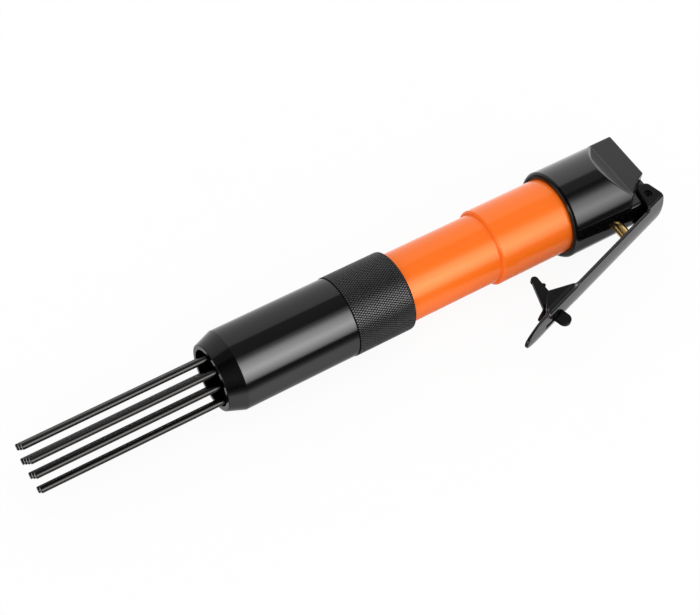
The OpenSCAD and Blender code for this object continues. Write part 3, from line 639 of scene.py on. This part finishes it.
class SCALER_OT_needles(Operator):
    """Builds the loose needles with their upset heads and blunt tips"""

    bl_idname = "scaler.needles"
    bl_label = "Needles"

    def execute(self, context):
        steel = drawn("drawn_needle_steel", context.scene.scaler.colours.needle, 0.24, (0.02, 1, 1))
        rod_r, head_length = 1.5, 2.5
        for name in NEEDLES:
            low, high = box_mm(name)
            tip, end, neck, head_r = low[0], high[0], high[0] - head_length, (high[1] - low[1]) / 2
            mesh = revolved(f"{name}_rod", [
                (0, tip, 0), (rod_r, tip, 0.3), (rod_r, neck, 0.15), (head_r, neck, 0.3),
                (head_r, end, 0.4), (0, end, 0),
            ], 32, (low + high) / 2 * np.array([0, 1, 1]))
            weighted(placed(f"{name}_rod", mesh, steel, name, "needle_steel", name))
        return {"FINISHED"}


def lever_axes(s):
    """The lever's pivot in millimetres and its own axes: u forward along the web, v outward, z across."""
    pivot = np.array([-s.pivot_back, s.pivot_depth - box_mm("head")[1][1], 0])
    cos, sin = math.cos(s.lean), math.sin(s.lean)
    return pivot, np.array([[-cos, -sin, 0], [sin, -cos, 0], [0, 0, 1]])


class SCALER_OT_lever(Operator):
    """Builds the pressed lever from one bent sheet, and its latch with eased edges"""

    bl_idname = "scaler.lever"
    bl_label = "Lever and latch"

    def execute(self, context):
        s, c = context.scene.scaler.lever, context.scene.scaler.colours
        mesh = self.pressed(s)
        pivot, axes = lever_axes(s)
        shoulder = float(pivot @ axes[1]) + s.web - s.bend
        dull, bright = shoulder - 1.4, shoulder - 0.4
        powder = coat("lever_powder_coat", c.lever, 0.2, 0.6, 0.12, (axes[1], dull, bright))
        lever = placed("pressed_lever", mesh, powder, "lever", "lever_black", "lever")
        self.drill(lever, s, [(0, 0, s.ear_hole), (s.wing_peak, s.latch_drop, s.wing_hole)])
        weighted(lever)
        satin = coat("latch_satin_coat", c.latch, 0.2, 0.5, 0.16)
        latch = placed("safety_latch", eased("safety_latch", "latch"), satin, "latch", "latch_black", "latch")
        rounded(latch, 0.25)
        return {"FINISHED"}

    def stations(self, s, tip):
        """Places of the sections along the lever, close together at its ends, ears and wings."""
        turn = np.linspace(0, math.pi / 2, 32)
        foot, rise, nose = 9, s.wing_start - 3, s.wing_end + 4
        return np.unique(np.round(np.concatenate([
            s.edge * (1 - np.cos(turn[::4])) - s.ear_back, np.arange(s.edge - s.ear_back, foot, 0.25),
            np.arange(foot, rise, 1.5), np.arange(rise, nose, 0.3), nose + (tip - nose) * np.sin(turn),
            [s.slot_start, s.slot_end, tip],
        ]), 4))

    def flange(self, s, half, edge):
        """Width of the sheet, laid flat, from its middle to the start of a bend and to an edge at the given
        height: an arc of the crown, an arc of the bend and then a straight wall. An edge beyond the bend
        counts as far back."""
        crown, bend = s.crown - s.sheet / 2, s.bend - s.sheet / 2
        first = math.asin((half - s.bend) / (s.crown - s.bend))
        rise = s.web - s.crown + (s.crown - s.bend) * math.cos(first) - edge
        straight = np.where(rise > 0, rise, -bend * np.arcsin(np.clip(-rise / bend, 0, 1)))
        steep = 10
        straight = straight - steep * np.clip(-rise - bend * math.cos(first), 0, None)
        return crown * first, crown * first + bend * (math.pi / 2 - first) + straight

    def ear_line(self, s, u):
        """Height of the ears' edge along the lever: a top that is round about the pivot, a rounded corner
        and a leaning front."""
        cos, sin = math.cos(s.ear_lean), math.sin(s.ear_lean)
        corner = (s.ear_front - s.ear_corner + (s.ear_corner - s.ear_top) * sin) / cos
        top = -chord(math.hypot(corner, s.ear_top), u)
        arc = s.ear_corner - s.ear_top - chord(s.ear_corner, u - corner)
        front = (u * cos - s.ear_front) / sin
        return np.where(u < corner, top, np.where(u < corner + s.ear_corner * cos, arc, front))

    def wing_line(self, s, u):
        """Height of the wings' edge along the lever: two slopes that meet in a peak."""
        first = math.asin((s.wing_half - s.bend) / (s.crown - s.bend))
        rise = s.web - s.crown + (s.crown - s.bend) * math.cos(first) + s.wing_top
        behind = (s.wing_peak - u) / (s.wing_peak - s.wing_start)
        ahead = (u - s.wing_peak) / (s.wing_end - s.wing_peak)
        return rise * upper(behind, ahead, 0.1) - s.wing_top

    def pressed(self, s):
        """The lever's sheet. Across the lever its middle surface turns evenly over the crown and then faster
        through the bends, so its place is the running sum of the sine and cosine of that turn. Along the
        lever its width follows the ears, the web, the wings and the tongue. Each section is closed with
        rounded edges."""
        crown, bend = s.crown - s.sheet / 2, s.bend - s.sheet / 2
        inset = s.wing_half - s.tongue_side
        join = math.acos(inset / (s.tongue_tip - s.tongue_side))
        tip_u = s.wing_end + (s.tongue_side - s.tongue_tip) * math.sin(join)
        tip = tip_u + s.tongue_tip
        u = self.stations(s, tip)

        foot = (s.ear_front + s.web * math.sin(s.ear_lean)) / math.cos(s.ear_lean)
        web = np.interp(u, [foot, s.wing_start], [s.ear_half - s.bend, s.wing_half])
        side = inset + chord(s.tongue_side, u - s.wing_end)
        nose = chord(s.tongue_tip, u - tip_u)
        tongue = np.where(u < s.wing_end + s.tongue_side * math.sin(join), side, nose)
        half = np.where(u < s.wing_end, web, tongue)
        ear_bend, ear = self.flange(s, s.ear_half, self.ear_line(s, u))
        wing_bend, wing = self.flange(s, s.wing_half, self.wing_line(s, u))
        flat = crown * np.arcsin(half / crown)
        crease = 0.4
        reach = upper(upper(flat, ear, crease), wing, crease)

        lead_in, run_in, lead_out, run_out = 2, 5, 2.5, 4
        ramp_in = np.clip((u - s.wing_start + lead_in) / run_in, 0, 1)
        ramp_out = np.clip((u - s.wing_end + lead_out) / run_out, 0, 1)
        smooth = [r * r * (3 - 2 * r) for r in (ramp_in, ramp_out)]
        at_ears = u < (foot + s.wing_start) / 2
        share = np.where(at_ears, 1.0, smooth[0] * (1 - smooth[1]))
        start = np.where(at_ears, ear_bend, wing_bend)
        curl = 1 / crown + share * (1 / bend - 1 / crown)

        slope = np.hypot(1, np.gradient(reach, u))
        round_s = np.minimum(s.edge * slope, reach)
        core = reach - round_s
        ends = np.clip(np.minimum(u + s.ear_back, tip - u), 0, s.edge)
        thick = s.sheet / 2 - s.edge + chord(s.edge, s.edge - ends)
        round_n = np.minimum(s.edge, thick)

        knots = [
            0 * core, np.minimum(s.slot_half, 0.25 * core), np.minimum(start, 0.7 * core),
            np.minimum(start + bend * (math.pi / 2) - bend * start / crown, 0.9 * core), core,
        ]
        counts = [3, 8, 9, 8]
        spans = [
            a[:, None] + (b - a)[:, None] * np.linspace(0, 1, n, endpoint=False)
            for a, b, n in zip(knots, knots[1:], counts)
        ]
        place = np.concatenate([*spans, core[:, None]], axis=1)

        def turned_at(distance):
            over = np.clip(distance - start[:, None], 0, None)
            return np.minimum((distance - over) / crown + curl[:, None] * over, math.pi / 2)

        step = np.diff(place, axis=1)
        middle = turned_at(place[:, :-1] + step / 2)
        sums = [np.cumsum(way(middle) * step, axis=1) for way in (np.sin, np.cos)]
        fall, z = [np.concatenate([np.zeros((len(u), 1)), each], axis=1) for each in sums]
        v = s.web - s.sheet / 2 - fall
        turn = turned_at(place)
        normal = np.stack([np.cos(turn), np.sin(turn)], axis=2)
        sheet = np.stack([v, z], axis=2)
        outer, inner = sheet + thick[:, None, None] * normal, sheet - thick[:, None, None] * normal

        arc = np.radians([67.5, 45, 22.5, 0])
        arc = np.concatenate([arc, -arc[::-1]])[None, :]
        level = np.repeat([1, -1], 4)[None, :] * (thick - round_n)[:, None] + round_n[:, None] * np.sin(arc)
        out = round_s[:, None] * np.cos(arc)
        along = np.stack([-normal[:, -1:, 1], normal[:, -1:, 0]], axis=2)
        edge = sheet[:, -1:] + level[..., None] * normal[:, -1:] + out[..., None] * along

        other = np.array([1, -1])
        ring = np.concatenate([
            outer[:, :0:-1] * other, outer, edge,
            inner[:, ::-1], inner[:, 1:] * other, edge[:, ::-1] * other,
        ], axis=1)
        points = np.concatenate([np.broadcast_to(u[:, None, None], (*ring.shape[:2], 1)), ring], axis=2)
        pivot, axes = lever_axes(s)
        faces = self.sheet_faces(s, u, ring.shape[1], place.shape[1] - 1, counts[0], edge.shape[1])
        return meshed("pressed_lever", points @ axes + pivot, faces)

    def sheet_faces(self, s, u, width, last, slot, edge):
        """Faces of the closed sections but for those in the slot, of the slot's walls and of the rear end."""
        back = 2 * last + 1 + edge
        rows = [int(np.argmin(np.abs(u - place))) for place in (s.slot_start, s.slot_end)]
        four = quads(len(u), width).reshape(len(u) - 1, width, 4)
        keep = np.ones(four.shape[:2], bool)
        keep[rows[0]:rows[1], last - slot:last + slot] = False
        keep[rows[0]:rows[1], back + last - slot:back + last + slot] = False

        def wall(row, column, row_step, column_step):
            a, b = row * width + last + column, row * width + back + last - column
            on, under = row_step * width + column_step, row_step * width - column_step
            return np.stack(np.broadcast_arrays(a, a + on, b + under, b), axis=-1).reshape(-1, 4)

        run = np.arange(rows[0], rows[1])
        span = np.arange(-slot, slot)
        walls = [wall(run, column, 1, 0) for column in (-slot, slot)]
        walls += [wall(row, span, 0, 1) for row in rows]
        walls.append(wall(0, np.arange(-last, last), 0, 1))
        ends = [list(range(2 * last, back + 1)), [*range(back + 2 * last, width), 0]]
        return four[keep].tolist() + np.concatenate(walls).tolist() + ends

    def drill(self, lever, s, holes):
        """Cuts round holes across the lever, each at a place along and below its pivot line."""
        pivot, axes = lever_axes(s)
        turn = np.linspace(0, 2 * math.pi, 48, endpoint=False)
        for along, below, radius in holes:
            ring = np.array([[0.0], [1], [1], [0]]) * radius
            across = np.array([[-1.0], [-1], [1], [1]]) * 2 * s.ear_half
            round_u, round_v = along + ring * np.cos(turn), below + ring * np.sin(turn)
            local = np.stack([round_u, round_v, across + 0 * turn], axis=2)
            mesh = meshed("drill", local @ axes + pivot, quads(4, len(turn)))
            tool = linked("drill", mesh)
            cut = lever.modifiers.new("Pin hole", "BOOLEAN")
            cut.operation, cut.solver, cut.object = "DIFFERENCE", "EXACT", tool
            view = bpy.context.evaluated_depsgraph_get()
            drilled = bpy.data.meshes.new_from_object(lever.evaluated_get(view))
            lever.modifiers.clear()
            lever.data = drilled
            bpy.data.objects.remove(tool)
        lever.data.name = "pressed_lever"
        lever.data.set_sharp_from_angle(angle=math.radians(40))


class SCALER_OT_coils(Operator):
    """Winds the three springs as smooth wire"""

    bl_idname = "scaler.coils"
    bl_label = "Springs"

    def execute(self, context):
        s, c = context.scene.scaler.lever, context.scene.scaler.colours
        look = drawn("spring_wire", c.ground, 0.3, (1, 1, 1))
        low, high = box_mm("return_spring")
        wire, turns = 1.5, 9
        along_x = np.array([[0, 0, -1], [0, 1, 0], [1, 0, 0]])
        start, length = np.array([low[0] + wire / 2, 0, 0]), high[0] - low[0] - wire
        radius = high[1] - wire / 2
        piece = self.wound("return", "body", look, start, along_x, radius, wire, length, turns)
        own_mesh(piece)

        low, high = box_mm("valve_spring")
        wire, turns = 0.7, 5
        along_y = np.array([[1, 0, 0], [0, 0, -1], [0, 1, 0]])
        start = np.array([(low[0] + high[0]) / 2, low[1] + wire / 2, 0])
        radius, length = (high[0] - low[0] - wire) / 2, high[1] - low[1] - wire
        piece = self.wound("valve", "body", look, start, along_y, radius, wire, length, turns)
        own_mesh(piece)

        low, high = box_mm("latch_spring")
        wire, turns, radius, leg, inset = 0.6, 3.25, 2.1, 6.0, 0.27
        pivot, axes = lever_axes(s)
        start = pivot + s.wing_peak * axes[0] + s.latch_drop * axes[1]
        start[2] += low[2] + inset
        across, length = np.array([axes[1], -axes[0], axes[2]]), high[2] - low[2] - 2 * inset
        piece = self.wound("latch", None, look, start, across, radius, wire, length, turns, leg)
        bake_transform(piece)
        return {"FINISHED"}

    def wound(self, name, body, look, start, axes, radius, wire, length, turns, leg=0.0):
        """A helix with two straight legs: the radius times cosine and sine of the turn, with a steady climb,
        and a leg that leaves each end along the helix's own direction. The wire round it is each point plus
        half the wire times cosine outwards and sine upwards."""
        steps = int(48 * turns)
        turn = np.linspace(0, 2 * math.pi * turns, steps + 1)
        ease = np.linspace(leg, 0, 7)[:-1] if leg else np.zeros(0)
        turn, along = (
            np.concatenate([turn[0] + 0 * ease, turn, turn[-1] + 0 * ease]),
            np.concatenate([-ease, 0 * turn, ease[::-1]]),
        )
        climb = turn / turn[-1] * length
        out = np.stack([np.cos(turn), np.sin(turn), 0 * turn], axis=1)
        path = radius * out + np.stack([-along * np.sin(turn), along * np.cos(turn), climb], axis=1)
        ring = np.linspace(0, 2 * math.pi, 16, endpoint=False)[None, :, None]
        round_wire = np.cos(ring) * out[:, None] + np.sin(ring) * np.array([0.0, 0, 1])
        points = path[:, None] + wire / 2 * round_wire
        caps = [path[end, None] + 0 * points[end] for end in (slice(0, 1), slice(-1, None))]
        points = np.concatenate([caps[0], points, caps[1]])
        mesh = meshed(f"{name}_coil", points @ axes + start, quads(len(points), points.shape[1]))
        return placed(f"{name}_coil", mesh, look, body, "spring_steel", f"{name}_spring")


class SCALER_OT_fittings(Operator):
    """Gives the remaining CAD nodes their finishes"""

    bl_idname = "scaler.fittings"
    bl_label = "Fittings"

    def execute(self, context):
        c = context.scene.scaler.colours
        finishes = {
            drawn("turned_brass", c.brass, 0.22, (1, 0.1, 1)): ["throttle_plunger"],
            coat("blackened_pin_steel", c.pin, 0.35, 0.4, 0.16): ["lever_pin", "latch_pin"],
            drawn("polished_steel", c.steel, 0.15, (1, 1, 0.1)): ["valve_ball"],
            drawn("ground_steel", c.ground, 0.3, (0.1, 1, 1)): [
                "needle_holder", "anvil", "piston", "valve_cap", "valve_disc", "valve_body", "valve_plug",
            ],
            drawn("woven_strainer", c.steel, 0.35, (1, 1, 1)): ["inlet_screen"],
            moulded("seal_rubber", c.rubber, 0.5, 0.0): ["head_seal"],
            moulded("cast_urethane", c.urethane, 0.35, 0.3): ["buffer_ring"],
        }
        for look, nodes in finishes.items():
            for node in nodes:
                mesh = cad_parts[node].data
                mesh.materials.clear()
                mesh.materials.append(look)
        return {"FINISHED"}


class SCALER_OT_stage(Operator):
    """Sets the floor, the studio light and the camera"""

    bl_idname = "scaler.stage"
    bl_label = "Stage"

    def execute(self, context):
        s = context.scene.scaler.stage
        self.floor()
        self.light(context.scene, s)
        lens = bpy.data.cameras.new("camera")
        lens.lens = s.focal
        lens.clip_start = 0.01
        camera = linked("camera", lens)
        camera.location = (-0.414707, -0.326706, 0.598477)
        camera.rotation_euler = np.radians((34.6759, -4.0208, -32.2703))
        context.scene.camera = camera
        context.scene.view_settings.view_transform = "Standard"
        return {"FINISHED"}

    def floor(self):
        """A pale sheet under the tool that shows almost white to the eye and keeps a faint shadow."""
        made, tree, place = material("pale_floor")
        tone = mixed(tree, noise(tree, place, 40, 2.0), np.full(3, 0.9), np.full(3, 0.95))
        matt = add(tree, "ShaderNodeBsdfDiffuse", {"Color": tone})
        white = add(tree, "ShaderNodeEmission", {"Color": (1, 1, 1, 1), "Strength": 1.0})
        eye = add(tree, "ShaderNodeLightPath").outputs
        glow = 0.93
        share = add(tree, "ShaderNodeMath", {0: eye["Is Camera Ray"], 1: glow}, operation="MULTIPLY")
        mix = {0: share.outputs[0], 1: matt.outputs[0], 2: white.outputs[0]}
        both = add(tree, "ShaderNodeMixShader", mix)
        add(tree, "ShaderNodeOutputMaterial", {"Surface": both.outputs[0]})
        low, high = np.array(CAD_BOX) / MM
        margin, near, far, gap = 500, -450, 900, 0.05
        left, right, level = low[0] - margin, high[0] + margin, low[2] - gap
        corners = [(left, near, level), (right, near, level), (right, far, level), (left, far, level)]
        mesh = bpy.data.meshes.new("floor")
        mesh.from_pydata(np.array(corners) * MM, [], [(0, 1, 2, 3)])
        mesh.materials.append(made)
        sheet = linked("floor", mesh)
        sheet.visible_glossy = False

    def fill(self, elements, stops):
        """Gives a colour ramp its stops, each a place and three levels."""
        elements[0].position, elements[1].position = stops[0][0], stops[-1][0]
        for place, _ in stops[1:-1]:
            elements.new(place)
        for element, (_, levels) in zip(elements, stops):
            element.color = (*levels, 1)

    def light(self, scene, s):
        """Even light from all round, a little stronger from the front. Reflections see a pale wall behind,
        a dark gap overhead, a wide softbox in front and a table below it, laid out by the angle in degrees
        about the tool's axis, and each brighter or darker along the axis."""
        world = bpy.data.worlds.new("studio")
        world.use_nodes = True
        scene.world = world
        tree = world.node_tree
        tree.nodes.clear()
        outwards = add(tree, "ShaderNodeTexCoord").outputs["Generated"]
        way = add(tree, "ShaderNodeSeparateXYZ", {0: outwards}).outputs
        about = add(tree, "ShaderNodeMath", {0: way["Z"], 1: way["Y"]}, operation="ARCTAN2")
        place = spanned(tree, about.outputs[0], 0.0, 1.0, -math.pi, math.pi)
        ramp = add(tree, "ShaderNodeValToRGB", {"Fac": place})
        stops = [
            (-180, 0.008), (-172, 0.015), (-164, 0.06), (-156, 0.14), (-142, 0.12), (-130, 0.09),
            (-116, 0.06), (-100, 0.045), (-74, 0.055), (-60, 0.1), (-48, 0.115), (-24, 0.1), (45, 0.1),
            (62.3, 0.09), (64.4, 0.024), (100, 0.02), (110, 0.15), (122, 0.58), (146, 1.0), (159, 0.68),
            (171, 0.33), (176, 0.01), (180, 0.008),
        ]
        around = [((turn + 180) / 360, np.full(3, level)) for turn, level in stops]
        self.fill(ramp.color_ramp.elements, around)
        reach = spanned(tree, way["X"], 0.0, 1.0, -1.0)
        along = add(tree, "ShaderNodeValToRGB", {"Fac": reach})
        spread = [
            (-0.92, (0.8, 0.8, 0.8)), (-0.8, (0.2, 0.02, 0.4)), (-0.5, (0.25, 0.02, 0.6)),
            (-0.28, (0.8, 0.02, 1.0)), (-0.1, (1.0, 0.05, 1.0)), (0.12, (1.1, 1.1, 1.1)),
            (0.31, (1.1, 1.1, 1.1)), (0.5, (1.7, 0.65, 0.55)), (0.63, (1.7, 0.3, 2.1)),
            (0.75, (1.7, 0.05, 2.1)),
        ]
        full = 4
        lengthwise = [((x + 1) / 2, np.array(levels) / full) for x, levels in spread]
        self.fill(along.color_ramp.elements, lengthwise)
        wall, soft, table = add(tree, "ShaderNodeSeparateColor", {0: along.outputs["Color"]}).outputs[:3]
        front, below = [
            add(tree, "ShaderNodeMath", {0: way[axis], 1: 0.0}, operation="LESS_THAN").outputs[0]
            for axis in "YZ"
        ]
        near = add(tree, "ShaderNodeMix", {0: below, 2: soft, 3: table}, data_type="FLOAT").outputs[0]
        share = add(tree, "ShaderNodeMix", {0: front, 2: wall, 3: near}, data_type="FLOAT")
        level = add(tree, "ShaderNodeMath", {0: share.outputs[0], 1: full * s.softbox}, operation="MULTIPLY")
        ahead, behind = 1.28 * s.light, 0.78 * s.light
        facing = spanned(tree, way["Y"], ahead, behind, -1.0)
        lights = ((ramp.outputs["Color"], level.outputs[0]), ((1, 1, 1, 1), facing), ((1, 1, 1, 1), 1.0))
        shine, even, white = [
            add(tree, "ShaderNodeBackground", {"Color": tint, "Strength": strength}).outputs[0]
            for tint, strength in lights
        ]
        eye = add(tree, "ShaderNodeLightPath").outputs
        seen = even
        for ray, sight in (("Is Glossy Ray", shine), ("Is Camera Ray", white)):
            seen = add(tree, "ShaderNodeMixShader", {0: eye[ray], 1: seen, 2: sight}).outputs[0]
        add(tree, "ShaderNodeOutputWorld", {"Surface": seen})
        world.cycles.sampling_method = "NONE"


class SCALER_PT_panel(Panel):
    """Lists the steps that build the scaler"""

    bl_idname = "SCALER_PT_panel"
    bl_label = "Needle scaler"
    bl_space_type = "VIEW_3D"
    bl_region_type = "UI"
    bl_category = "Scaler"

    def draw(self, context):
        for step in STEPS:
            self.layout.operator(step.bl_idname)


STEPS = [
    SCALER_OT_stage, SCALER_OT_sleeve, SCALER_OT_barrel, SCALER_OT_head, SCALER_OT_needles, SCALER_OT_lever,
    SCALER_OT_coils, SCALER_OT_fittings,
]
CLASSES = [
    ScalerSleeve, ScalerHead, ScalerLever, ScalerColours, ScalerStage, ScalerSettings, *STEPS,
    SCALER_PT_panel,
]


def register():
    for each in CLASSES:
        bpy.utils.register_class(each)
    bpy.types.Scene.scaler = PointerProperty(type=ScalerSettings)


def unregister():
    del bpy.types.Scene.scaler
    for each in reversed(CLASSES):
        bpy.utils.unregister_class(each)


def main():
    register()
    for step in STEPS:
        group, name = step.bl_idname.split(".")
        getattr(getattr(bpy.ops, group), name)()
    bpy.context.view_layer.update()


if __name__ == "__main__":
    main()
